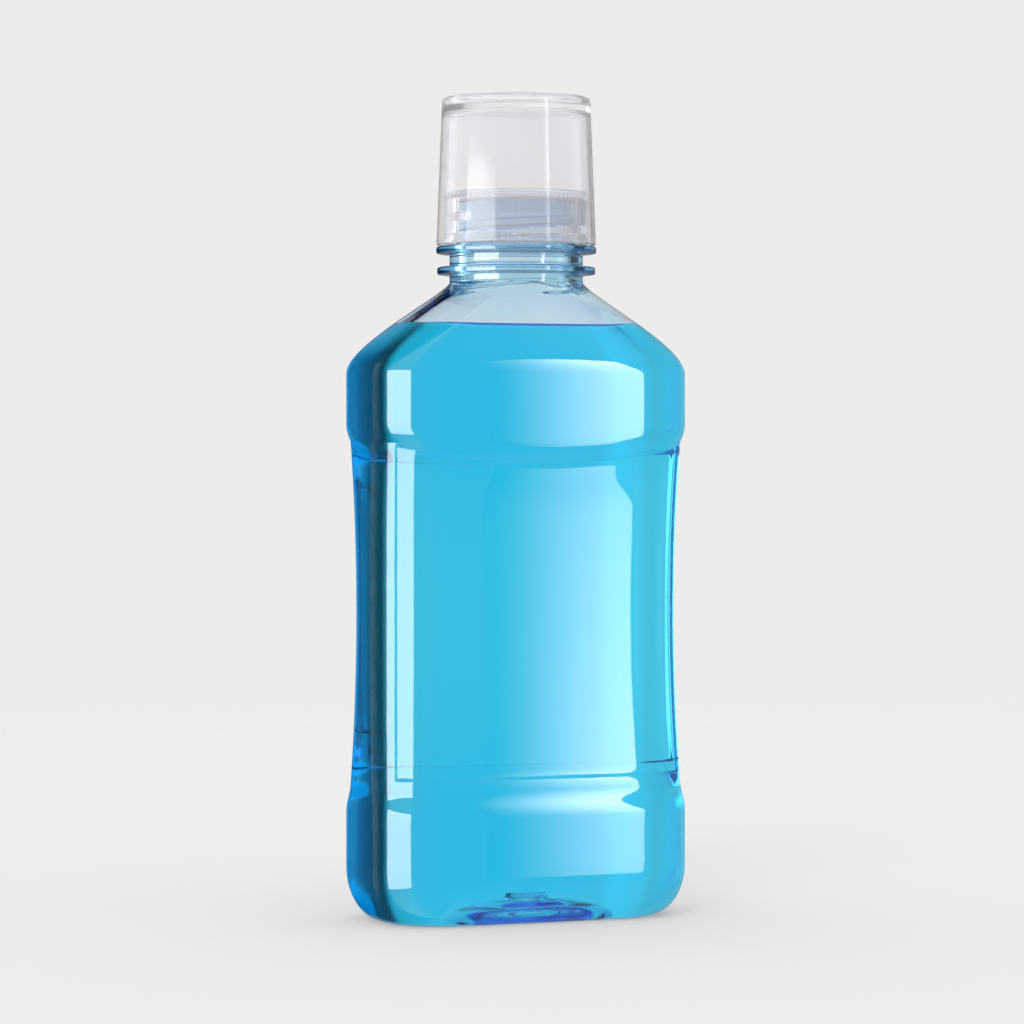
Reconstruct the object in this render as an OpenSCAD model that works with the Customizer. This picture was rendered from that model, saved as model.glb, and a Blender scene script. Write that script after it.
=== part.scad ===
// Mouthwash bottle with a clear screw cap and a dosing cup pushed over the cap.
// The bottle stands on z = 0 around the z axis, and its wide front faces -Y.

/* [Bottle body] */
// Width of the body over its two bumper bands
body_w = 70; // [56:0.5:84]
// Depth of the body over its two bumper bands
body_d = 38; // [32:0.5:46]
// Height from the table to the foot of the neck
body_h = 133; // [110:1:160]
// Corner radius of the bumper bands
corner_r = 12; // [6:0.5:15]
// How far the front and back bow out
face_bow = 0.9; // [0.3:0.1:1.6]
// How far the narrow sides bow out
side_bow = 0.3; // [0.1:0.1:0.8]
// Thickness of the blown wall
body_wall = 0.9; // [0.6:0.1:1.2]

/* [Waist] */
// Height of the top of the lower bumper band
lower_band_h = 22.4; // [18:0.2:28]
// Height of the step from the lower band to the waist
lower_step_h = 5.8; // [4:0.2:8]
// Height of the upper bumper band, from its lower edge to the shoulder
upper_band_h = 10.3; // [8:0.1:14]
// Height of the step from the waist to the upper band
upper_step_h = 3.6; // [2.4:0.1:5]
// How far the steps draw the sides in
step_in_w = 0.4; // [0.2:0.1:1]
// How far the steps draw the front and back in
step_in_d = 0.9; // [0.4:0.1:1.4]
// How far the middle of the waist draws the sides in further
waist_in_w = 0.5; // [0.2:0.1:1.2]
// How far the middle of the waist draws the front and back in further
waist_in_d = 1.6; // [0.6:0.1:2.4]
// How much larger the corner radius is just past the steps
step_r_gain = 0.8; // [0:0.1:2.4]
// How much larger still the corner radius is in the middle of the waist
waist_r_gain = 0.8; // [0:0.1:2.4]
// How far the upper step sags in the middle of the front and back
step_sag = 4.2; // [0:0.1:6]
// Depth of the label panels below the corner posts
label_recess = 0.35; // [0.1:0.05:0.6]

/* [Shoulder and foot] */
// Height of the shoulder, from the upper band to the foot of the neck
shoulder_h = 19.2; // [15:0.2:24]
// How long the shoulder stays upright above the band
shoulder_rise = 6.15; // [4:0.05:8]
// How long the shoulder is upright below the neck
shoulder_fillet = 2.15; // [1.5:0.05:4]
// Height of the rounded foot
foot_h = 10.6; // [8:0.2:13]
// How far the rounded foot draws in
foot_in = 6; // [4:0.2:7]
// Width of the flat ring that the bottle stands on
stand_w = 3; // [2:0.2:4]
// Height of the push-up in the middle of the base
push_up = 4.6; // [3:0.1:6]
// Radius of the round pad in the middle of the push-up
pad_r = 5; // [4:0.2:6]
// Height of that pad above the push-up
pad_h = 1; // [0.4:0.1:1.6]
// Height of the ripples around the pad
ripple_h = 0.3; // [0.1:0.05:0.5]

/* [Neck] */
// Outer diameter of the neck between its two rings
neck_d = 28; // [26:0.2:32]
// Diameter of the bore through the neck
bore_d = 23.2; // [20:0.2:23.6]
// Diameter of the finish at the root of its thread
root_d = 25.2; // [24.8:0.1:26.4]
// Height of the thread above its root
thread_h = 1.2; // [0.8:0.1:1.4]
// Rise of the thread in one turn
thread_pitch = 4.233; // [3.8:0.001:4.6]
// Number of turns of the thread
thread_turns = 1.1; // [0.8:0.05:1.2]
// Diameter of the support ring
support_d = 33.2; // [31:0.2:37]
// Height of the support ring's underside above the foot of the neck
support_z = 1.6; // [1.2:0.1:2.4]
// Thickness of the support ring
support_t = 1.5; // [1.2:0.1:2]
// Diameter of the stop bead that the cup comes down to
bead_d = 33.6; // [31:0.2:38]
// Gap between the support ring and the stop bead
ring_gap = 2.9; // [2:0.1:4]
// Thickness of the stop bead
bead_t = 1.4; // [1.2:0.1:2]
// Height of the finish from the stop bead to the rim
finish_h = 9.2; // [8.8:0.1:11]

/* [Screw cap] */
// Clearance between the cap and the neck, across and along the thread
cap_clear = 0.3; // [0.2:0.05:0.4]
// Thickness of the cap's skirt with its ridges
cap_wall = 1.15; // [1:0.05:1.5]
// Thickness of the cap's top
cap_top_t = 1.4; // [1:0.1:2]
// Height of the grip ridges
ridge_h = 0.25; // [0.15:0.05:0.35]
// Number of grip ridges
ridge_n = 84; // [48:4:96]
// Thickness of the sealing liner
liner_t = 0.9; // [0.6:0.1:1.2]

/* [Dosing cup] */
// Height of the cup from its rim to its closed end
cup_h = 31; // [26:0.5:40]
// Wall thickness of the cup
cup_wall = 0.8; // [0.6:0.05:1]
// Clearance between the cup and the edge of the cap
cup_clear = 0.25; // [0.15:0.05:0.4]
// Slope of the cup's wall away from upright, in degrees
cup_draft = 2.2; // [1.5:0.1:3]
// Height of the ring around the recessed end of the cup
cup_foot_h = 1.9; // [1:0.1:2.5]
// Width of that ring
cup_foot_w = 1.7; // [1.4:0.1:2.2]
// Radius of the cup's outer edge at its closed end
cup_edge_r = 1.2; // [0.8:0.1:1.3]
// Thickness of the cup's closed end
cup_floor_t = 1.2; // [0.8:0.1:1.6]

/* [Contents] */
// Drop from the foot of the neck to the liquid
headspace = 10.2; // [6:0.2:14]
// Gap left between the liquid and the wall
fill_gap = 0.15; // [0.15:0.05:0.3]

/* [Hidden] */

// Angles around a corner: the side's half of it, then the label panel's half
side_angles = [0, 9, 18, 27, 35];
panel_angles = [41, 52, 64, 77, 90];
// Where points lie along the flat of the front and back
flat_shares = [0.75, 0.5, 0.25];
section_n = 4 * (len(side_angles) + len(panel_angles) + len(flat_shares) + 1);

// Heights of the body
shoulder_z = body_h - shoulder_h;
upper_band_z = shoulder_z - upper_band_h;
waist_top_z = upper_band_z - upper_step_h;
waist_z = lower_band_h + lower_step_h;
sag_fade_h = 16;
panel_edge_h = 0.8;
panel_lift = 1.8;
liquid_z = body_h - headspace;
stand_corner_r = corner_r - 1;
pad_top_r = 0.8 * pad_r;
side_flat_min = 0.8;

// Heights and radii of the neck
neck_r = neck_d / 2;
bore_r = bore_d / 2;
root_r = root_d / 2;
thread_r = root_r + thread_h;
support_low_z = body_h + support_z;
support_high_z = support_low_z + support_t;
bead_low_z = support_high_z + ring_gap;
bead_high_z = bead_low_z + bead_t;
rim_z = bead_high_z + finish_h;
ring_edge = 0.3;
// The blown body ends inside the support ring, just outside the bore
joint_z = support_low_z + support_t / 2;
joint_bore_r = bore_r + 0.06;

// Thread profile: widths at the root and at the crest, and the part sunk into the wall
thread_root_w = 2.2;
thread_crest_w = 1.1;
thread_sink = 0.35;
thread_lift = 0.6;
thread_start_z = bead_high_z + thread_root_w / 2 + thread_lift;
thread_step = 10;
thread_fade = 30;

// Cap, liner and cup, each measured from what it fits
skirt_r = thread_r + cap_clear;
cap_r = skirt_r + cap_wall;
cap_low_z = bead_high_z + cap_clear;
liner_low_z = rim_z;
cap_inner_z = liner_low_z + liner_t;
cap_high_z = cap_inner_z + cap_top_t;
cap_edge_r = 0.8;
cap_thread_crest_w = 1;
cap_thread_root_w = 1.9;
cap_thread_turns = 1.1;
cap_thread_margin = 0.1;
ridge_margin = 0.7;
ridge_sink = 0.2;
liner_clear = 0.4;
liner_r = skirt_r - liner_clear;
cup_low_z = bead_high_z + cap_clear;
cup_high_z = cup_low_z + cup_h;
cup_fit_r = cap_r + cup_clear;
cup_fillet_r = 1.4;

$fn = 96;

function mix(a, b, share) = a + (b - a) * share;
function ease(share) = let (s = max(0, min(1, share))) s * s * (3 - 2 * s);

// One quarter of a body section, from the middle of the side to the middle of the front
function quarter(half_w, half_d, r, recess) =
    let (centre = [half_w - r, half_d - r])
    concat(
        [[half_w, 0]],
        [for (a = side_angles) centre + r * [cos(a), sin(a)]],
        [for (a = panel_angles) centre + (r - recess) * [cos(a), sin(a)]],
        [for (share = flat_shares) [share * centre.x, half_d - recess]],
        [[0, half_d - recess]]
    );

// Four quarters make the closed section, anticlockwise from +X
function all_round(part) =
    let (m = len(part) - 1)
    [for (i = [0:4 * m - 1])
        let (q = floor(i / m), j = i % m, p = q % 2 == 0 ? part[j] : part[m - j])
        [q == 0 || q == 3 ? p.x : -p.x, q < 2 ? p.y : -p.y]];

// A body section drawn in by inset, with bowed faces and sunk label panels.
// Its corners get smaller where the narrow sides have no room for them.
function section(half_w, half_d, r, recess, inset) =
    let (
        w = half_w - side_bow - inset,
        d = half_d - face_bow - inset,
        fitted_r = min(r - inset, d - side_flat_min)
    )
    all_round([for (p = quarter(w, d, fitted_r, recess))
        [p.x + side_bow * (1 - pow(p.y / d, 2)), p.y + face_bow * (1 - pow(p.x / w, 2))]]);

function round_section(r) =
    [for (i = [0:section_n - 1]) let (a = 360 * i / section_n) r * [cos(a), sin(a)]];
function blend(a, b, share) = [for (i = [0:section_n - 1]) mix(a[i], b[i], share)];

// Lifts a section to its height, and lets it sag in the middle of the front and back
function at_height(points, z, sag = 0) =
    [for (p = points) [p.x, p.y, z - sag * (1 - pow(2 * p.x / body_w, 2))]];

// Sections of the base, from its middle pad out to the flat ring
function stand_section(inset) = section(body_w / 2 - foot_in, body_d / 2 - foot_in, stand_corner_r, 0, inset);
function base_z(share) = push_up * (1 - share * share);
function base_rings(steps, wall, ripple) =
    concat(
        [at_height(round_section(pad_top_r), push_up + pad_h + wall)],
        [at_height(round_section(pad_r), push_up + wall)],
        [for (i = [1:steps])
            let (share = i / steps)
            at_height(
                blend(round_section(pad_r), stand_section(stand_w), share),
                base_z(share) + wall + (i < steps ? ripple * (i % 2) : 0)
            )],
        wall == 0 ? [at_height(stand_section(0), 0)] : []
    );

// Sections of the rounded foot, up to the lower band
function foot_rings(steps, wall) =
    [for (i = [1:steps])
        let (a = 90 * i / steps, draw_in = foot_in * (1 - sin(a)))
        at_height(
            section(body_w / 2 - draw_in, body_d / 2 - draw_in, corner_r, 0, wall),
            wall + (foot_h - wall) * (1 - cos(a))
        )];

// A section between the bands: step runs from 0 on a band to 1 past its step,
// and arch from 0 at the ends of the waist to 1 in its middle
function waist_section(step, arch, recess, wall) =
    section(
        body_w / 2 - step_in_w * step - waist_in_w * arch,
        body_d / 2 - step_in_d * step - waist_in_d * arch,
        corner_r + step_r_gain * step + waist_r_gain * arch,
        recess,
        wall
    );
function arch_at(z) = let (t = (z - waist_z) / (waist_top_z - waist_z)) max(0, 4 * t * (1 - t));
function sag_at(z) =
    z > upper_band_z
        ? step_sag * ease((shoulder_z - z) / (shoulder_z - upper_band_z))
        : step_sag * ease((z - waist_top_z + sag_fade_h) / sag_fade_h);
function waist_ring(z, step, recess, wall) =
    at_height(waist_section(step, arch_at(z), recess, wall), z, sag_at(z));

function waist_rings(step_n, arch_n, wall) =
    let (
        panel_low_z = waist_z + panel_lift,
        panel_high_z = waist_top_z - panel_edge_h,
        panel_h = panel_high_z - panel_low_z - panel_edge_h
    )
    concat(
        [for (i = [0:step_n])
            waist_ring(lower_band_h + lower_step_h * i / step_n, ease(i / step_n), 0, wall)],
        [waist_ring(panel_low_z, 1, 0, wall)],
        [for (i = [0:arch_n])
            waist_ring(panel_low_z + panel_edge_h + panel_h * i / arch_n, 1, label_recess, wall)],
        [for (i = [0:step_n])
            waist_ring(waist_top_z + upper_step_h * i / step_n, 1 - ease(i / step_n), 0, wall)],
        [waist_ring(mix(upper_band_z, shoulder_z, 0.5), 0, 0, wall)]
    );

// Sections of the shoulder along a cubic curve that is upright at both ends
function shoulder_curve_z(u) =
    shoulder_z
    + 3 * u * pow(1 - u, 2) * shoulder_rise
    + 3 * u * u * (1 - u) * (shoulder_h - shoulder_fillet)
    + pow(u, 3) * shoulder_h;
function shoulder_rings(steps, wall, end_r) =
    let (band = section(body_w / 2, body_d / 2, corner_r, 0, wall))
    [for (i = [0:steps])
        let (u = i / steps)
        at_height(blend(band, round_section(end_r), ease(u)), shoulder_curve_z(u))];

// The outside of the body and the inside of its wall, from the base to the neck
function outer_rings() =
    concat(
        base_rings(6, 0, ripple_h),
        foot_rings(7, 0),
        waist_rings(4, 8, 0),
        shoulder_rings(10, 0, neck_r),
        [at_height(round_section(neck_r), joint_z)]
    );
function inner_rings(wall, end_r) =
    concat(
        base_rings(4, wall, 0),
        foot_rings(5, wall),
        waist_rings(3, 6, wall),
        shoulder_rings(8, wall, end_r)
    );

function reversed(list) = [for (i = [len(list) - 1:-1:0]) list[i]];

// A closed skin over a list of rings, with a point in the middle of the first and last.
// Each quad is cut from its lower corner to the next upper one, so that nested skins stay apart.
module skin(rings) {
    n = len(rings[0]);
    last = len(rings) - 1;
    first_point = [0, 0, rings[0][0].z];
    last_point = [0, 0, rings[last][0].z];
    points = concat([first_point], [for (ring = rings) each ring], [last_point]);
    end = len(points) - 1;
    faces = concat(
        [for (i = [0:n - 1]) [0, 1 + i, 1 + (i + 1) % n]],
        [for (j = [0:last - 1], i = [0:n - 1])
            let (a = 1 + j * n, b = a + n, k = (i + 1) % n)
            each rings[j + 1][i].z > rings[j][i].z
                ? [[a + i, b + i, b + k], [a + i, b + k, a + k]]
                : [[a + i, b + i, a + k], [b + i, b + k, a + k]]],
        [for (i = [0:n - 1]) let (a = 1 + last * n) [a + (i + 1) % n, a + i, end]]
    );
    polyhedron(points, faces);
}

// A helical ridge from its sunk base to its crest, which fades in and out at its ends
module helix_ridge(base_r, crest_r, base_w, crest_w, start_angle, turns) {
    steps = ceil(360 * turns / thread_step);
    points = [for (i = [0:steps])
        let (
            turned = 360 * turns * i / steps,
            a = start_angle + turned,
            z = thread_pitch * turned / 360,
            fade = max(0.1, min(1, turned / thread_fade, (360 * turns - turned) / thread_fade)),
            r = mix(base_r, crest_r, fade)
        )
        each [for (p = [[base_r, -base_w], [r, -crest_w], [r, crest_w], [base_r, base_w]])
            [p.x * cos(a), p.x * sin(a), z + p.y / 2]]];
    sides = [for (i = [0:steps - 1], k = [0:3])
        let (a = 4 * i + k, b = 4 * i + (k + 1) % 4)
        each [[a, b, b + 4], [a, b + 4, a + 4]]];
    end = 4 * steps;
    faces = concat([[0, 2, 1], [0, 3, 2]], sides, [[end, end + 1, end + 2], [end, end + 2, end + 3]]);
    polyhedron(points, crest_r > base_r ? faces : [for (f = faces) reversed(f)]);
}

// The neck finish: support ring, stop bead and threaded rim, around the open bore
module neck_finish() {
    rotate_extrude()
        polygon([
            [bore_r, support_low_z],
            [support_d / 2 - ring_edge, support_low_z],
            [support_d / 2, support_low_z + ring_edge],
            [support_d / 2, support_high_z - ring_edge],
            [support_d / 2 - ring_edge, support_high_z],
            [neck_r, support_high_z],
            [neck_r, bead_low_z],
            [bead_d / 2 - ring_edge, bead_low_z],
            [bead_d / 2, bead_low_z + ring_edge],
            [bead_d / 2, bead_high_z - ring_edge],
            [bead_d / 2 - ring_edge, bead_high_z],
            [root_r, bead_high_z],
            [root_r, rim_z - ring_edge],
            [root_r - ring_edge, rim_z],
            [bore_r, rim_z]
        ]);
    sunk_w = thread_root_w + (thread_root_w - thread_crest_w) * thread_sink / thread_h;
    translate([0, 0, thread_start_z])
        helix_ridge(root_r - thread_sink, thread_r, sunk_w, thread_crest_w, 0, thread_turns);
}

// One blown piece: the hollow body and its moulded neck
module bottle() {
    color("lightcyan") {
        skin(concat(
            outer_rings(),
            [at_height(round_section(joint_bore_r), joint_z)],
            reversed(inner_rings(body_wall, joint_bore_r))
        ));
        neck_finish();
    }
}

// The liquid fills the inside of the wall up to its level
module mouthwash() {
    wall = body_wall + fill_gap;
    color("deepskyblue")
        intersection() {
            skin(inner_rings(wall, joint_bore_r - fill_gap));
            translate([-body_w / 2, -body_d / 2, 0]) cube([body_w, body_d, liquid_z]);
        }
}

// A loose sealing disc that lies on the rim under the cap
module cap_liner() {
    color("white") translate([0, 0, liner_low_z]) cylinder(r = liner_r, h = liner_t);
}

module grip_ridges() {
    valley_r = cap_r - ridge_h - ridge_sink;
    // One ridge: where its corners lie along its share of the turn, and their radii
    profile = [[0, valley_r], [0.3, valley_r], [0.5, cap_r], [0.8, cap_r]];
    outline = [for (i = [0:ridge_n - 1], p = profile)
        let (a = 360 / ridge_n * (i + p.x)) p.y * [cos(a), sin(a)]];
    translate([0, 0, cap_low_z + ridge_margin])
        linear_extrude(cap_high_z - cap_low_z - ridge_margin - cap_edge_r) polygon(outline);
}

// The threaded cap: a ridged skirt, a flat top and a thread that matches the neck's
module screw_cap() {
    core_r = cap_r - ridge_h;
    sunk_w = cap_thread_root_w
        + (cap_thread_root_w - cap_thread_crest_w) * thread_sink / (skirt_r - root_r - cap_clear);
    // Its middle runs half a pitch below the middle of the neck's thread, all the way round
    cap_thread_z = cap_low_z + sunk_w / 2 + cap_thread_margin;
    cap_thread_start = 360 * ((cap_thread_z - thread_start_z) / thread_pitch + 0.5);
    color("gainsboro") {
        difference() {
            union() {
                rotate_extrude()
                    polygon(concat(
                        [[0, cap_low_z], [core_r, cap_low_z]],
                        [for (a = [0:15:90])
                            [core_r - cap_edge_r * (1 - cos(a)), cap_high_z - cap_edge_r * (1 - sin(a))]],
                        [[0, cap_high_z]]
                    ));
                grip_ridges();
            }
            translate([0, 0, cap_low_z - 1]) cylinder(r = skirt_r, h = cap_inner_z - cap_low_z + 1);
        }
        translate([0, 0, cap_thread_z])
            helix_ridge(
                skirt_r + thread_sink, root_r + cap_clear, sunk_w, cap_thread_crest_w,
                cap_thread_start, cap_thread_turns
            );
    }
}

// Radius of the cup's outer wall at a height, which fits over the edge of the cap
function cup_r(z) = cup_fit_r + cup_wall + (cap_high_z - z) * tan(cup_draft);

// The dosing cup, upside down over the cap, with a recessed closed end
module measuring_cup() {
    outer_top_r = cup_r(cup_high_z - cup_edge_r);
    recess_z = cup_high_z - cup_foot_h;
    floor_z = recess_z - cup_floor_t;
    inner_top_r = cup_r(floor_z - cup_fillet_r) - cup_wall;
    recess_r = outer_top_r - cup_foot_w;
    color("whitesmoke")
        rotate_extrude()
            polygon(concat(
                [[cup_r(cup_low_z) - cup_wall, cup_low_z], [cup_r(cup_low_z), cup_low_z]],
                [for (a = [0:15:90])
                    [outer_top_r - cup_edge_r * (1 - cos(a)), cup_high_z - cup_edge_r * (1 - sin(a))]],
                [[recess_r, cup_high_z], [recess_r, recess_z], [0, recess_z], [0, floor_z]],
                [for (a = [90:-15:0])
                    [inner_top_r - cup_fillet_r * (1 - cos(a)), floor_z - cup_fillet_r * (1 - sin(a))]]
            ));
}

bottle();
mouthwash();
cap_liner();
screw_cap();
measuring_cup();
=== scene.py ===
# Mouthwash bottle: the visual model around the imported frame, with its stage, lights and camera.
# Pieces are in millimetres until their mesh is made. The frame, the stage and the camera are in metres.
import math

import bpy
import numpy as np
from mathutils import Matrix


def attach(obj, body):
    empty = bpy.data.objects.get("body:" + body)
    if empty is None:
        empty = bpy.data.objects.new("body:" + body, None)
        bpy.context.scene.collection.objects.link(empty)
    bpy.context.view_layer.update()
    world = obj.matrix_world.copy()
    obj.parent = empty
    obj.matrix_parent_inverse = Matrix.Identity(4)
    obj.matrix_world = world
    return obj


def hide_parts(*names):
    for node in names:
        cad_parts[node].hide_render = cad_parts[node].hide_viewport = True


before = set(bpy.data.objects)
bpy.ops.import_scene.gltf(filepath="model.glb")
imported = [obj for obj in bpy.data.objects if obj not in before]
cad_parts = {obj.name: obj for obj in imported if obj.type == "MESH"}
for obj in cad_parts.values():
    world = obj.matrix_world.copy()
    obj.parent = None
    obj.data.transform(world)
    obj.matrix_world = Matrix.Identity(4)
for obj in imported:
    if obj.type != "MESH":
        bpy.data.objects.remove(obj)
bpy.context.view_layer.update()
MM = 0.001

# Driving sizes of the body, as in the CAD source
BODY_W, BODY_D, BODY_H = 70, 38, 133
CORNER_R, FACE_BOW, SIDE_BOW, WALL = 12, 0.9, 0.3, 0.9
LOW_BAND, LOW_STEP, UP_BAND, UP_STEP = 22.4, 5.8, 10.3, 3.6
STEP_IN_W, STEP_IN_D, WAIST_IN_W, WAIST_IN_D = 0.4, 0.9, 0.5, 1.6
STEP_R, WAIST_R, SAG, SAG_FADE = 0.8, 0.8, 4.2, 16
RECESS, PANEL_LIFT, PANEL_EDGE = 0.35, 1.8, 0.8
SHOULDER_H, SHOULDER_RISE, SHOULDER_FILLET = 19.2, 6.15, 2.15
FOOT_H, FOOT_IN, STAND_W = 10.6, 6, 3
PUSH_UP, PAD_R, PAD_H, RIPPLE_H = 4.6, 5, 1, 0.3
HEADSPACE = 10.2

# Driving sizes of the neck and of what goes on it, as in the CAD source
NECK_R, BORE_R, ROOT_R, RING_R, BEAD_R = 14, 11.6, 12.6, 16.6, 16.8
RING_LIFT, RING_T, RING_GAP, BEAD_T, FINISH_H = 1.6, 1.5, 2.9, 1.4, 9.2
THREAD_H, PITCH, TURNS, THREAD_LIFT = 1.2, 4.233, 1.1, 0.6
LINER_T, LINER_CLEAR, CLEAR, CAP_WALL, CAP_TOP = 0.9, 0.4, 0.3, 1.15, 1.4
CAP_EDGE_R, RIDGE_H, RIDGE_N = 0.8, 0.25, 84
CUP_H, CUP_WALL, CUP_CLEAR, DRAFT = 31, 0.8, 0.25, 2.2
CUP_EDGE_R, CUP_FILLET_R, CUP_FOOT_H, CUP_FOOT_W, CUP_FLOOR_T = 1.2, 1.4, 1.9, 1.7, 1.2
# Width of each thread at its root and at its crest
NECK_THREAD, CAP_THREAD = (2.2, 1.1), (1.9, 1.0)

# Heights and radii that follow from them
SHOULDER_Z = BODY_H - SHOULDER_H
UP_BAND_Z = SHOULDER_Z - UP_BAND
WAIST_TOP = UP_BAND_Z - UP_STEP
WAIST_Z = LOW_BAND + LOW_STEP
LIQUID_Z = BODY_H - HEADSPACE
STAND_R = CORNER_R - 1
RING_Z0 = BODY_H + RING_LIFT
RING_Z1 = RING_Z0 + RING_T
BEAD_Z0 = RING_Z1 + RING_GAP
BEAD_Z1 = BEAD_Z0 + BEAD_T
RIM_Z = BEAD_Z1 + FINISH_H
THREAD_Z = BEAD_Z1 + NECK_THREAD[0] / 2 + THREAD_LIFT
CAP_Z0 = BEAD_Z1 + CLEAR
CAP_IN = RIM_Z + LINER_T
CAP_Z1 = CAP_IN + CAP_TOP
SKIRT_R = ROOT_R + THREAD_H + CLEAR
CAP_R = SKIRT_R + CAP_WALL
LINER_R = SKIRT_R - LINER_CLEAR
CUP_FIT_R = CAP_R + CUP_CLEAR
CUP_Z1 = CAP_Z0 + CUP_H

# Finer shapes that only the visual model has: first the crease that starts each label panel,
# by its place round a corner from the side and its width, both in degrees
CREASE_DEG, CREASE_SPAN = 36, 5
PAD_EDGE, RIPPLE_N = 0.9, 3
EDGE_R, SMALL_FILLET, FILLET = 0.35, 0.3, 0.4
MENISCUS = 0.9
# The liquid reaches a hair into the wall, so that no film of air shows between them
OVER = 0.06
# A hair of air keeps the liner's faces off the rim and the cap
HAIR = 0.012
LINER_EDGE, SKIRT_FILLET = 0.3, 0.5
CUP_RIM_ROUND, WELL_EDGE, WELL_FILLET = 0.25, 0.25, 0.4


# Shapes
def ease(x):
    x = np.clip(x, 0.0, 1.0)
    return x * x * (3 - 2 * x)


# A quarter of a ring of points runs along the side, round the corner and along the front
SIDE_END, CORNER_END, FRONT_END = 1, 10, 14
PLACES = np.concatenate([
    np.linspace(0, SIDE_END, 5)[:-1],
    np.linspace(SIDE_END, CORNER_END, 37)[:-1],
    np.linspace(CORNER_END, FRONT_END, 17),
])
ON_SIDE, BEFORE_FRONT = PLACES <= SIDE_END, PLACES <= CORNER_END
# The CAD skin has points at these angles round a corner, and here each gap has three more
CORNER_STOPS = [0, 9, 18, 27, 35, 41, 52, 64, 77, 90]
CORNER_ANGLE = np.radians(np.interp(PLACES, range(SIDE_END, CORNER_END + 1), CORNER_STOPS))
QUARTER_N = len(PLACES) - 1
RING_N = 4 * QUARTER_N


def all_round(part):
    """Four quarters make a closed ring, anticlockwise from +X."""
    points = []
    for i in range(RING_N):
        q, j = divmod(i, QUARTER_N)
        x, y = part[j] if q % 2 == 0 else part[QUARTER_N - j]
        points.append((x if q in (0, 3) else -x, y if q < 2 else -y))
    return np.array(points)


def section(half_w, half_d, r, recess, inset):
    """A cross-section of the body: bowed faces, round corners and label panels sunk by a recess."""
    w, d, corner_r = half_w - SIDE_BOW - inset, half_d - FACE_BOW - inset, r - inset
    cx, cy = w - corner_r, d - corner_r
    sunk_r = corner_r - recess * ease((np.degrees(CORNER_ANGLE) - CREASE_DEG) / CREASE_SPAN)
    front_x = cx * (FRONT_END - PLACES) / (FRONT_END - CORNER_END)
    corner_x = cx + sunk_r * np.cos(CORNER_ANGLE)
    x = np.where(ON_SIDE, w, np.where(BEFORE_FRONT, corner_x, front_x))
    corner_y = cy + sunk_r * np.sin(CORNER_ANGLE)
    y = np.where(ON_SIDE, cy * PLACES, np.where(BEFORE_FRONT, corner_y, d - recess))
    return all_round(np.stack([x + SIDE_BOW * (1 - (y / d) ** 2), y + FACE_BOW * (1 - (x / w) ** 2)], 1))


ROUND_ANGLE = np.radians(90 * PLACES / FRONT_END)
ROUND = all_round(np.stack([np.cos(ROUND_ANGLE), np.sin(ROUND_ANGLE)], 1))
ROUND_DEG = np.degrees(np.arctan2(ROUND[:, 1], ROUND[:, 0])) % 360


def at(points, z, sag=0.0):
    """Lifts a section to its height, and lets it sag in the middle of the front and back."""
    z = z - sag * (1 - (2 * points[:, 0] / BODY_W) ** 2)
    return np.column_stack([points, np.broadcast_to(z, len(points))])


def ring(r, z):
    return at(ROUND * np.reshape(r, (-1, 1)), z)


def stand(inset):
    return section(BODY_W / 2 - FOOT_IN, BODY_D / 2 - FOOT_IN, STAND_R, 0, inset)


def base_rings(wall, ripple_h):
    """From the pad in the middle of the base, down the rippled push-up, to the stand."""
    rows = [ring(r, PUSH_UP + PAD_H + wall) for r in (1.5, 3, 3.8)]
    for s in np.linspace(0.1, 1, 7):
        rows.append(ring(PAD_R - PAD_EDGE * (1 - s), PUSH_UP + wall + PAD_H * (1 - ease(s))))
    for s in np.linspace(0, 1, 31)[1:]:
        wave = ripple_h * (0.5 - 0.5 * math.cos(math.tau * RIPPLE_N * s)) * min(1, 6 * (1 - s))
        rows.append(at(ROUND * PAD_R * (1 - s) + stand(STAND_W) * s, PUSH_UP * (1 - s * s) + wall + wave))
    return rows


def foot_rings(wall):
    rows = []
    for a in np.radians(np.linspace(6, 90, 15)):
        pull = FOOT_IN * (1 - math.sin(a))
        outline = section(BODY_W / 2 - pull, BODY_D / 2 - pull, STAND_R + min(1, a), 0, wall)
        rows.append(at(outline, wall + (FOOT_H - wall) * (1 - math.cos(a))))
    return rows


def waist_ring(z, step, recess, wall):
    """A section between the bands: step runs from 0 on a band to 1 past its step."""
    t = (z - WAIST_Z) / (WAIST_TOP - WAIST_Z)
    arch = max(0, 4 * t * (1 - t))
    above, below = (SHOULDER_Z - z) / UP_BAND, (z - WAIST_TOP + SAG_FADE) / SAG_FADE
    outline = section(BODY_W / 2 - STEP_IN_W * step - WAIST_IN_W * arch,
                      BODY_D / 2 - STEP_IN_D * step - WAIST_IN_D * arch,
                      CORNER_R + STEP_R * step + WAIST_R * arch, recess, wall)
    return at(outline, z, SAG * ease(above if z > UP_BAND_Z else below))


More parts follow.
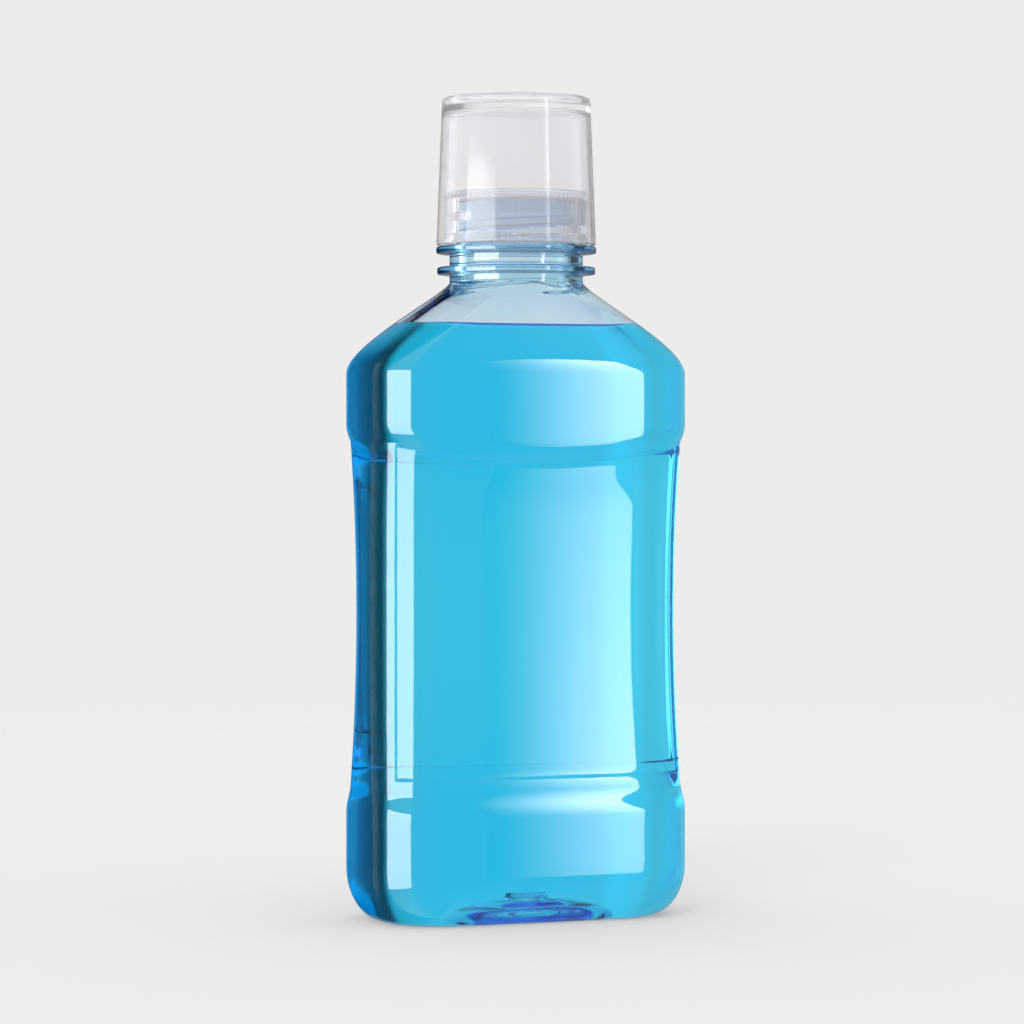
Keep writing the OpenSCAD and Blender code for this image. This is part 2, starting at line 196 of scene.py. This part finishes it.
def waist_rings(wall):
    """From the lower band over the waist, with its label panels, to the upper band."""
    low, high = WAIST_Z + PANEL_LIFT, WAIST_TOP - PANEL_EDGE
    edge = np.linspace(0, 1, 7)
    rows = [waist_ring(z, 0, 0, wall) for z in np.linspace(FOOT_H, LOW_BAND, 7)[1:-1]]
    rows += [waist_ring(LOW_BAND + LOW_STEP * s, ease(s), 0, wall) for s in np.linspace(0, 1, 17)]
    rows += [waist_ring(low + PANEL_EDGE * s, 1, RECESS * ease(s), wall) for s in edge]
    rows += [waist_ring(z, 1, RECESS, wall) for z in np.linspace(low + PANEL_EDGE, high, 50)[1:-1]]
    rows += [waist_ring(high + PANEL_EDGE * s, 1, RECESS * ease(1 - s), wall) for s in edge]
    for s in np.linspace(0, 1, 25)[1:]:
        rows.append(waist_ring(WAIST_TOP + UP_STEP * s, 1 - ease(s ** 0.6), 0, wall))
    rows += [waist_ring(z, 0, 0, wall) for z in np.linspace(UP_BAND_Z, SHOULDER_Z, 9)[1:-1]]
    return rows


def shoulder_ring(u, wall, end_r):
    """A section of the shoulder, which follows a cubic curve that is upright at both ends."""
    band = section(BODY_W / 2, BODY_D / 2, CORNER_R, 0, wall)
    z = (SHOULDER_Z + 3 * u * (1 - u) ** 2 * SHOULDER_RISE
         + 3 * u * u * (1 - u) * (SHOULDER_H - SHOULDER_FILLET) + u ** 3 * SHOULDER_H)
    return at(band * (1 - ease(u)) + ROUND * end_r * ease(u), z)


def body_rings(wall, ripple_h, end_r):
    rows = base_rings(wall, ripple_h)
    if wall == 0:
        rows += [at(stand(inset), 0.0) for inset in (STAND_W - 0.3, STAND_W / 2, 0)]
    rows += foot_rings(wall) + waist_rings(wall)
    return rows + [shoulder_ring(u, wall, end_r) for u in np.linspace(0, 1, 41)]


def thread(deg, z, z0, widths, fade=30.0):
    """How far a helical ridge stands up at each angle, from 0 to 1, at one height."""
    root_w, crest_w = widths
    up = np.zeros_like(deg)
    for k in range(math.ceil(TURNS)):
        turned = deg + 360 * k
        there = np.minimum(turned, 360 * TURNS - turned) / fade
        away = np.abs(z - z0 - PITCH * turned / 360)
        up = np.maximum(up, np.clip(there, 0, 1) * ease((root_w / 2 - away) / ((root_w - crest_w) / 2)))
    return up


def lathe(profile, turn=ring):
    return [turn(r, z) for r, z in profile]


def arc(cr, cz, r, start, stop, steps=5):
    angles = np.radians(np.linspace(start, stop, steps))
    return [(cr + r * math.cos(a), cz + r * math.sin(a)) for a in angles]


def under(r, z, fillet):
    """The fillet from a wall out to the underside of a ring."""
    return arc(r + fillet, z - fillet, fillet, 180, 90, 4)


def over(r, z, fillet):
    """The fillet from the top of a ring in to a wall."""
    return arc(r + fillet, z + fillet, fillet, 270, 180, 4)


def flange(r, z0, z1):
    """The rounded outer edge of a ring."""
    return arc(r - EDGE_R, z0 + EDGE_R, EDGE_R, -90, 0) + arc(r - EDGE_R, z1 - EDGE_R, EDGE_R, 0, 90)


def mesh(name, rings, material, sharp=38):
    """A closed skin over rings of points, with a point in the middle of the first and last."""
    n = len(rings[0])
    points = np.concatenate([[rings[0].mean(0)], *rings, [rings[-1].mean(0)]]) * MM
    faces = [(0, 1 + (i + 1) % n, 1 + i) for i in range(n)]
    for j in range(len(rings) - 1):
        a, b = 1 + j * n, 1 + (j + 1) * n
        faces += [(a + i, a + (i + 1) % n, b + (i + 1) % n, b + i) for i in range(n)]
    a, end = 1 + (len(rings) - 1) * n, len(points) - 1
    faces += [(a + i, a + (i + 1) % n, end) for i in range(n)]
    data = bpy.data.meshes.new(name)
    data.from_pydata(points.tolist(), [], faces)
    data.validate()
    data.polygons.foreach_set("use_smooth", [True] * len(data.polygons))
    data.set_sharp_from_angle(angle=math.radians(sharp))
    data.materials.append(material)
    obj = bpy.data.objects.new(name, data)
    bpy.context.scene.collection.objects.link(obj)
    return obj


# Materials
WHITE, BLACK = (1, 1, 1, 1), (0, 0, 0, 1)


def grey(level):
    return (level, level, level, 1)


class Nodes:
    """A node tree with its output, and short calls to add nodes and join them."""

    def __init__(self, tree, output="ShaderNodeOutputMaterial"):
        self.tree = tree
        self.tree.nodes.clear()
        self.out = self.add(output)

    def feed(self, socket, value):
        """Joins a socket to another node's output, or sets it to a value."""
        if isinstance(value, bpy.types.NodeSocket):
            self.tree.links.new(value, socket)
        else:
            socket.default_value = value

    def add(self, kind, links=(), **values):
        node = self.tree.nodes.new(kind)
        for key, value in values.items():
            if hasattr(node, key):
                setattr(node, key, value)
            else:
                self.feed(node.inputs[key.replace("_", " ")], value)
        for name, source in dict(links).items():
            self.feed(node.inputs[name], source)
        return node

    def remap(self, source, old=(0, 1), new=(0, 1), **values):
        """Carries one range of values over to another."""
        node = self.add("ShaderNodeMapRange", {"Value": source}, **values)
        for name, value in zip(("From Min", "From Max", "To Min", "To Max"), (*old, *new)):
            node.inputs[name].default_value = value
        return node.outputs["Result"]

    def calculate(self, operation, *numbers):
        node = self.add("ShaderNodeMath", operation=operation)
        for k, number in enumerate(numbers):
            self.feed(node.inputs[k], number)
        return node.outputs[0]

    def mix(self, share, first, second):
        """Mixes two colours: the node takes colours at sockets 6 and 7, and gives one at output 2."""
        node = self.add("ShaderNodeMix", {"Factor": share}, data_type="RGBA")
        self.feed(node.inputs[6], first)
        self.feed(node.inputs[7], second)
        return node.outputs[2]

    def coordinates(self, kind):
        return self.add("ShaderNodeTexCoord").outputs[kind]


def new_material(name):
    mat = bpy.data.materials.new(name)
    mat.use_nodes = True
    return mat, Nodes(mat.node_tree)


def noise(n, scale, detail):
    """Noise that is drawn out along the height."""
    mapping = n.add("ShaderNodeMapping", {"Vector": n.coordinates("Object")}, Scale=(1, 1, 0.5))
    node = n.add("ShaderNodeTexNoise", {"Vector": mapping.outputs["Vector"]}, Scale=scale, Detail=detail)
    return node.outputs["Fac"]


def clear(name, ior, rough=(0.0, 0.02), wave=(45, 0.01), tint=WHITE, milk=0.0, **extra):
    """A clear material with slightly uneven gloss and faint waves, given by their scale and strength."""
    mat, n = new_material(name)
    bump = n.add("ShaderNodeBump", {"Height": noise(n, wave[0], 2)}, Strength=wave[1], Distance=0.002)
    gloss = n.remap(noise(n, 320, 3), (0.45, 0.8), rough)
    shader = n.add("ShaderNodeBsdfPrincipled", {"Normal": bump.outputs["Normal"], "Roughness": gloss},
                   Base_Color=tint, Transmission_Weight=1.0 - milk, IOR=ior, **extra)
    n.feed(n.out.inputs["Surface"], shader.outputs[0])
    return mat, n, shader


def soak(n, colour, density):
    """Lets a clear material take up light on its way through."""
    absorption = n.add("ShaderNodeVolumeAbsorption", Color=colour, Density=density)
    n.feed(n.out.inputs["Volume"], absorption.outputs[0])


def bottle_pet():
    mat, n, shader = clear("bottle_pet", 1.57)
    soak(n, (0.0, 0.6, 0.82, 1), 130.0)
    # Where the wall is wet its inner side hardly mirrors
    wet = n.add("ShaderNodeAttribute", attribute_name="mirrors", attribute_type="GEOMETRY")
    n.feed(shader.inputs["Specular Tint"], wet.outputs["Color"])
    # Painted shade: deeper blue is painted on the outside of the neck finish, most of all on its thread and
    # round its rim, for the dark blue bands that light shows there through the plastic
    painted_shade = n.add("ShaderNodeAttribute", attribute_name="tint", attribute_type="GEOMETRY")
    n.feed(shader.inputs["Base Color"], painted_shade.outputs["Color"])
    return mat


def blue_mouthwash():
    mat, n, _ = clear("blue_mouthwash", 1.34, (0.0, 0.004), (20, 0.004), Specular_Tint=BLACK)
    soak(n, (0.0, 0.894, 0.991, 1), 106.0)
    return mat


def cap_plastic():
    tint = (0.93, 0.965, 0.99, 1)
    return clear("cap_plastic", 1.2, (0.0, 0.02), (120, 0.02), tint, 0.04, Specular_IOR_Level=1.0)[0]


def cup_plastic():
    tint = (0.985, 0.98, 1, 1)
    return clear("cup_plastic", 1.3, (0.05, 0.1), (60, 0.02), tint, 0.2, Specular_IOR_Level=1.0)[0]


def liner_foam():
    mat, n = new_material("liner_foam")
    foam = n.add("ShaderNodeTexVoronoi", {"Vector": n.coordinates("Object")}, Scale=2600.0)
    cells = foam.outputs["Distance"]
    bump = n.add("ShaderNodeBump", {"Height": cells}, Strength=0.3, Distance=0.0002)
    shade = n.add("ShaderNodeValToRGB", {"Fac": cells})
    shade.color_ramp.elements[0].color = (0.84, 0.88, 0.91, 1)
    shade.color_ramp.elements[1].color = (0.9, 0.93, 0.95, 1)
    links = {"Base Color": shade.outputs["Color"], "Normal": bump.outputs["Normal"]}
    shader = n.add("ShaderNodeBsdfPrincipled", links, Roughness=0.6, Transmission_Weight=0.3)
    n.feed(n.out.inputs["Surface"], shader.outputs[0])
    return mat


# Bottle
# Widths on the thread, least share, and height round the rim of the painted shade on the neck finish
THREAD_SHADE_WIDTHS, LEAST_PAINTED_SHADE, RIM_SHADE_H = (3.4, 1.8), 0.15, 3.2


def finish_ring(r, z):
    return ring(r + THREAD_H * thread(ROUND_DEG, z, THREAD_Z, NECK_THREAD), z)


def neck_rings():
    """From the shoulder up over the support ring, the stop bead and the thread, and down the bore."""
    profile = [(NECK_R, BODY_H + 0.5), (NECK_R, RING_Z0 - SMALL_FILLET - 0.05)]
    profile += under(NECK_R, RING_Z0, SMALL_FILLET) + flange(RING_R, RING_Z0, RING_Z1)
    profile += over(NECK_R, RING_Z1, FILLET) + [(NECK_R, RING_Z1 + 1.9)]
    profile += under(NECK_R, BEAD_Z0, FILLET) + flange(BEAD_R, BEAD_Z0, BEAD_Z1)
    threaded = [(ROOT_R, z) for z in np.linspace(BEAD_Z1 + 0.45, RIM_Z - 0.45, 66)]
    rim = arc(ROOT_R - EDGE_R, RIM_Z - EDGE_R, EDGE_R, 0, 90)
    rim += arc(BORE_R + SMALL_FILLET, RIM_Z - SMALL_FILLET, SMALL_FILLET, 90, 180, 4)
    bore = [(BORE_R, RIM_Z - 2.6 - 3 * k) for k in range(5)]
    finish = lathe(over(ROOT_R, BEAD_Z1, SMALL_FILLET) + threaded, finish_ring)
    return lathe(profile) + finish + lathe(rim + bore)


def paint(obj, name, colour):
    """Gives each point of a mesh a colour, worked out from its number and its place in millimetres."""
    layer = obj.data.color_attributes.new(name, "FLOAT_COLOR", "POINT")
    for point, spot in zip(obj.data.vertices, layer.data):
        spot.color = colour(point.index, *(point.co / MM))


def finish_painted_shade(_, x, y, z):
    """Painted shade: blue on the outside of the neck finish, fullest on its thread and round its rim, where
    light through the plastic shows dark blue bands.
    """
    if z <= BEAD_Z1 + 0.3 or math.hypot(x, y) <= BORE_R + 0.5:
        return WHITE
    deg = np.array([math.degrees(math.atan2(y, x)) % 360])
    ridge = thread(deg, z, THREAD_Z, THREAD_SHADE_WIDTHS)[0]
    blue = max(LEAST_PAINTED_SHADE, ridge, float(ease(z - RIM_Z + RIM_SHADE_H)))
    return (1 - 0.8 * blue, 1 - 0.5 * blue, 1 - 0.28 * blue, 1)


def make_bottle():
    outside, inside = body_rings(0, RIPPLE_H, NECK_R) + neck_rings(), body_rings(WALL, 0, BORE_R)[::-1]
    obj = mesh("bottle_body", outside + inside, bottle_pet())
    last_outside = RING_N * len(outside)

    def mirrors(index, x, y, z):
        return BLACK if index > last_outside and z < LIQUID_Z else WHITE

    paint(obj, "mirrors", mirrors)
    # Painted shade: deeper blue on the neck finish's thread and round its rim
    paint(obj, "tint", finish_painted_shade)
    return obj


# Liquid
def make_liquid():
    """The liquid fills the inside of the wall, and creeps up it a little at its level."""
    inset = WALL - OVER
    shares = np.linspace(0, 1, 101)
    heights = [shoulder_ring(u, inset, BORE_R)[0, 2] for u in shares]
    top = float(np.interp(LIQUID_Z + MENISCUS, heights, shares))
    rows = base_rings(inset, 0) + foot_rings(inset) + waist_rings(inset)
    rows += [shoulder_ring(u, inset, BORE_R + OVER) for u in np.linspace(0, top, 31)]
    for away in (0.15, 0.35, 0.6, 0.9, 1.3, 1.8, 2.5, 3.5, 5.0, 7.0, 9.0):
        flat = shoulder_ring(top, inset + away, BORE_R + OVER - away)
        level = LIQUID_Z + MENISCUS * math.exp(-away / MENISCUS)
        rows.append(np.column_stack([flat[:, :2], np.full(RING_N, level)]))
    return mesh("mouthwash_liquid", rows, blue_mouthwash(), sharp=60)


# Liner
def make_liner():
    low, high = RIM_Z + HAIR, RIM_Z + LINER_T - HAIR
    edge_r = LINER_R - LINER_EDGE
    profile = [(4, low), (9, low)] + arc(edge_r, low + LINER_EDGE, LINER_EDGE, -90, 0, 4)
    profile += arc(edge_r, high - LINER_EDGE, LINER_EDGE, 0, 90, 4) + [(9, high), (4, high)]
    return mesh("sealing_liner", lathe(profile), liner_foam())


# Cap
RIDGE_FORM = np.array([0.0, 0.0, 0.55, 1.0, 1.0, 0.55])
RIDGES = np.tile(RIDGE_FORM, RIDGE_N)
CAP_N = len(RIDGES)
CAP_DEG = np.arange(CAP_N) * 360 / CAP_N
CAP_XY = np.stack([np.cos(np.radians(CAP_DEG)), np.sin(np.radians(CAP_DEG))], 1)
CORE_R = CAP_R - RIDGE_H
# Where its thread starts, which runs half a pitch from the neck's thread all the way round
CAP_THREAD_Z = CAP_Z0 + 1.33
CAP_THREAD_DEG = 360 * ((CAP_THREAD_Z - THREAD_Z) / PITCH + 0.5)
# Heights above the foot and drops below the top, and how much of a ridge stands up there
RIDGE_FOOT = [(0.55, 0), (0.75, 0.8), (1.0, 1), (3.3, 1), (6.3, 1)]
RIDGE_HEAD = [(1.15, 1), (0.95, 0.8), (0.8, 0)]


def cap_ring(r, z):
    return at(CAP_XY * np.reshape(r, (-1, 1)), z)


def ridged(z, share):
    return cap_ring(CORE_R + RIDGE_H * share * RIDGES, z)


def cap_inside(r, z):
    turned = (CAP_DEG - CAP_THREAD_DEG) % 360
    return cap_ring(r - THREAD_H * thread(turned, z, CAP_THREAD_Z, CAP_THREAD), z)


def make_cap():
    """From under the cap's top, down the threaded inside, round the foot, and up the ridges to the top."""
    rows = lathe([(4, CAP_IN), (9, CAP_IN), (13.3, CAP_IN)], cap_ring)
    rows += lathe(arc(SKIRT_R - SKIRT_FILLET, CAP_IN - SKIRT_FILLET, SKIRT_FILLET, 90, 0), cap_inside)
    rows += [cap_inside(SKIRT_R, z) for z in np.linspace(CAP_IN - 0.7, CAP_Z0 + 0.15, 62)]
    rows += lathe([(SKIRT_R + 0.15, CAP_Z0), (CORE_R - 0.2, CAP_Z0), (CORE_R, CAP_Z0 + 0.2)], cap_ring)
    rows += [ridged(CAP_Z0 + up, share) for up, share in RIDGE_FOOT]
    rows += [ridged(CAP_Z1 - down, share) for down, share in RIDGE_HEAD]
    rows += lathe(arc(CORE_R - CAP_EDGE_R, CAP_Z1 - CAP_EDGE_R, CAP_EDGE_R, 10, 90, 7), cap_ring)
    rows += lathe([(10, CAP_Z1), (5, CAP_Z1)], cap_ring)
    return mesh("screw_cap_shell", rows, cap_plastic())


# Cup
CUP_N = 192
CUP_ANGLE = np.arange(CUP_N) * math.tau / CUP_N
CUP_XY = np.stack([np.cos(CUP_ANGLE), np.sin(CUP_ANGLE)], 1)


def cup_r(z):
    return CUP_FIT_R + CUP_WALL + (CAP_Z1 - z) * math.tan(math.radians(DRAFT))


def cup_ring(r, z):
    return at(CUP_XY * r, z)


def make_cup():
    """From under the cup's closed end, down the inside, round the rim, and up the outside to the recess."""
    recess_z = CUP_Z1 - CUP_FOOT_H
    floor_z = recess_z - CUP_FLOOR_T
    rim_r, rim_z = cup_r(CAP_Z0), CAP_Z0 + CUP_RIM_ROUND
    top_r = cup_r(CUP_Z1 - CUP_EDGE_R)
    in_r = cup_r(floor_z - CUP_FILLET_R) - CUP_WALL
    well_r = top_r - CUP_FOOT_W
    profile = [(4, floor_z), (9, floor_z)]
    profile += arc(in_r - CUP_FILLET_R, floor_z - CUP_FILLET_R, CUP_FILLET_R, 90, 0, 9)
    profile += [(cup_r(z) - CUP_WALL, z) for z in np.linspace(floor_z - 2, rim_z, 16)]
    profile += [(rim_r - 0.62, CAP_Z0 + 0.04), (rim_r - 0.4, CAP_Z0), (rim_r - 0.2, CAP_Z0 + 0.04)]
    profile += [(cup_r(z), z) for z in np.linspace(rim_z, CUP_Z1 - 1.3, 18)]
    profile += arc(top_r - CUP_EDGE_R, CUP_Z1 - CUP_EDGE_R, CUP_EDGE_R, 4, 90, 10)
    profile += arc(well_r + WELL_EDGE, CUP_Z1 - WELL_EDGE, WELL_EDGE, 90, 180, 4) + [(well_r, CUP_Z1 - 1.0)]
    profile += arc(well_r - WELL_FILLET, recess_z + WELL_FILLET, WELL_FILLET, 0, -90, 5)
    profile += [(9, recess_z), (4, recess_z)]
    return mesh("dosing_cup", lathe(profile, cup_ring), cup_plastic())


bottle, liquid, liner, cap, cup = make_bottle(), make_liquid(), make_liner(), make_cap(), make_cup()
for piece, body, node, slot in (
        (bottle, "bottle", "bottle", "clear_bottle"),
        (liquid, "bottle", "mouthwash", "blue_liquid"),
        (liner, "liner", "cap_liner", "white_foam"),
        (cap, "cap", "screw_cap", "clear_cap"),
        (cup, "cup", "measuring_cup", "clear_cup")):
    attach(piece, body)
    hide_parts(node)
# Light that scatters between the floor and the foot isn't stopped by the liquid
liquid.visible_diffuse = False

# Stage
PALE = 0.838
scene = bpy.context.scene
scene.view_settings.view_transform = "Standard"
# Light crosses many walls here, from the cup to the far side of the bottle
scene.cycles.max_bounces = scene.cycles.transmission_bounces = scene.cycles.glossy_bounces = 40
scene.cycles.transparent_max_bounces = 24

# Brightness of the studio by direction: 0 degrees faces the front of the bottle, 90 its right side
SEEN_THROUGH = [
    (-180, 0.8), (-156, 0.95), (-146, 5), (-136, 5), (-124, 1.6), (-80, 1.0), (-60, 0.95), (-20, 0.8),
    (14, 0.68), (22, 0.55), (35, 0.58), (50, 0.72), (62, 1.1), (70, 1.5), (86, 1.35), (97, 0.4),
    (104, 0.06), (132, 0.06), (138, 0.7), (150, 0.84), (158, 0.86), (164, 0.98), (172, 0.9), (180, 0.8),
]
MIRRORED = [
    (-180, 0), (-112, 0), (-102, 0.3), (-94, 1.0), (-65, 1.0), (-40, 0.5),
    (18, 0.38), (30, 0.7), (80, 0.3), (165, 0.2), (180, 0),
]
# Its dark sides fade out above and below, between these heights of a direction one unit long
SIDES_END = (0.35, 0.6)


def around(n, turn, stops):
    """A ring of brightnesses, each at its direction in degrees."""
    node = n.add("ShaderNodeValToRGB", {"Fac": turn})
    ramp = node.color_ramp
    ramp.interpolation = "EASE"
    for k, (deg, level) in enumerate(stops):
        position = (deg + 180) / 360
        spot = ramp.elements[k] if k < 2 else ramp.elements.new(position)
        spot.position, spot.color = position, grey(level)
    return node.outputs["Color"]


def studio():
    """A surround that is plain to the camera, and has its own brightness in gloss and through the bottle."""
    world = bpy.data.worlds.new("studio")
    scene.world = world
    world.use_nodes = True
    n = Nodes(world.node_tree, "ShaderNodeOutputWorld")
    ray = n.add("ShaderNodeLightPath").outputs
    axes = n.add("ShaderNodeSeparateXYZ", {"Vector": n.coordinates("Generated")}).outputs
    angle = n.calculate("ARCTAN2", axes["X"], n.calculate("MULTIPLY", axes["Y"], -1))
    turn = n.remap(angle, (-math.pi, math.pi))
    steep = n.remap(n.calculate("ABSOLUTE", axes["Z"]), SIDES_END, interpolation_type="SMOOTHSTEP")
    through = n.mix(steep, around(n, turn, SEEN_THROUGH), grey(PALE))
    light = n.mix(ray["Is Glossy Ray"], WHITE, around(n, turn, MIRRORED))
    light = n.mix(ray["Is Transmission Ray"], light, through)
    light = n.mix(ray["Is Camera Ray"], light, grey(PALE))
    n.feed(n.out.inputs["Surface"], n.add("ShaderNodeBackground", {"Color": light}).outputs[0])


def sheet(name, corners, material):
    data = bpy.data.meshes.new(name)
    data.from_pydata(corners, [], [(0, 1, 2, 3)])
    data.materials.append(material)
    obj = bpy.data.objects.new(name, data)
    scene.collection.objects.link(obj)
    return obj


FLOOR_HALF, FLOOR_FADE, FLOOR_SHARE = 2, (0.25, 0.9), (0.6, 0.0)


def pale_floor():
    """A floor that fades into the backdrop away from the bottle, and isn't seen in it or through it."""
    mat, n = new_material("pale_floor")
    far = n.add("ShaderNodeVectorMath", {"Vector": n.coordinates("Object")}, operation="LENGTH")
    share = n.remap(far.outputs["Value"], FLOOR_FADE, FLOOR_SHARE, interpolation_type="SMOOTHSTEP")
    mix = n.add("ShaderNodeMixShader", {"Fac": share})
    n.feed(mix.inputs[1], n.add("ShaderNodeBsdfTransparent").outputs[0])
    n.feed(mix.inputs[2], n.add("ShaderNodeBsdfDiffuse", Color=grey(0.8)).outputs[0])
    n.feed(n.out.inputs["Surface"], mix.outputs[0])
    h = FLOOR_HALF
    floor = sheet("floor", [(-h, -h, 0), (h, -h, 0), (h, h, 0), (-h, h, 0)], mat)
    floor.visible_glossy = floor.visible_transmission = False


def softbox(name, left, right, away, low, high, power, dim, soft=False):
    """An upright panel of light between two directions, seen only in the gloss.

    It is dimmer towards its foot and, where soft, towards its left.
    """
    mat, n = new_material(name)
    place = n.add("ShaderNodeSeparateXYZ", {"Vector": n.coordinates("Generated")}).outputs
    strength = n.remap(place["Z"], new=(power * dim, power))
    if soft:
        across = n.remap(place["X"], new=(0.035, 1), interpolation_type="SMOOTHSTEP")
        strength = n.calculate("MULTIPLY", strength, across)
    glow = n.add("ShaderNodeEmission", {"Strength": strength}, Color=WHITE)
    n.feed(n.out.inputs["Surface"], glow.outputs[0])
    ends = [(away * math.sin(math.radians(a)), -away * math.cos(math.radians(a))) for a in (left, right)]
    obj = sheet(name, [(*ends[0], low), (*ends[1], low), (*ends[1], high), (*ends[0], high)], mat)
    obj.visible_camera = obj.visible_diffuse = obj.visible_transmission = False


def key_light():
    sun = bpy.data.lights.new("key", "SUN")
    sun.energy, sun.angle = 0.5, math.radians(25)
    key = bpy.data.objects.new("key", sun)
    key.rotation_euler = (math.radians(38), math.radians(-40), 0)
    key.visible_glossy = key.visible_transmission = False
    scene.collection.objects.link(key)


# The camera looks level past the bottle's axis, turned from the front towards -X
CAMERA_AWAY, CAMERA_Z, CAMERA_TURN = 0.84, 0.0978, math.radians(22)
SENSOR, FOCAL_PX, PHOTO_PX = 36, 4000, 1024
CAMERA_SHIFT = (-0.0041, -0.0605)


def front_camera():
    camera = bpy.data.cameras.new("camera")
    camera.sensor_width, camera.lens = SENSOR, FOCAL_PX * SENSOR / PHOTO_PX
    camera.shift_x, camera.shift_y = CAMERA_SHIFT
    view = bpy.data.objects.new("camera", camera)
    view.location = (-CAMERA_AWAY * math.sin(CAMERA_TURN), -CAMERA_AWAY * math.cos(CAMERA_TURN), CAMERA_Z)
    view.rotation_euler = (math.radians(90), 0, -CAMERA_TURN)
    scene.collection.objects.link(view)
    scene.camera = view


studio()
pale_floor()
softbox("softbox_right", 18.5, 27.85, 1.5, -0.25, 0.6, power=14.0, dim=0.3, soft=True)
softbox("softbox_left", -99, -52, 0.8, -0.3, 0.26, power=10.0, dim=0.7)
key_light()
front_camera()
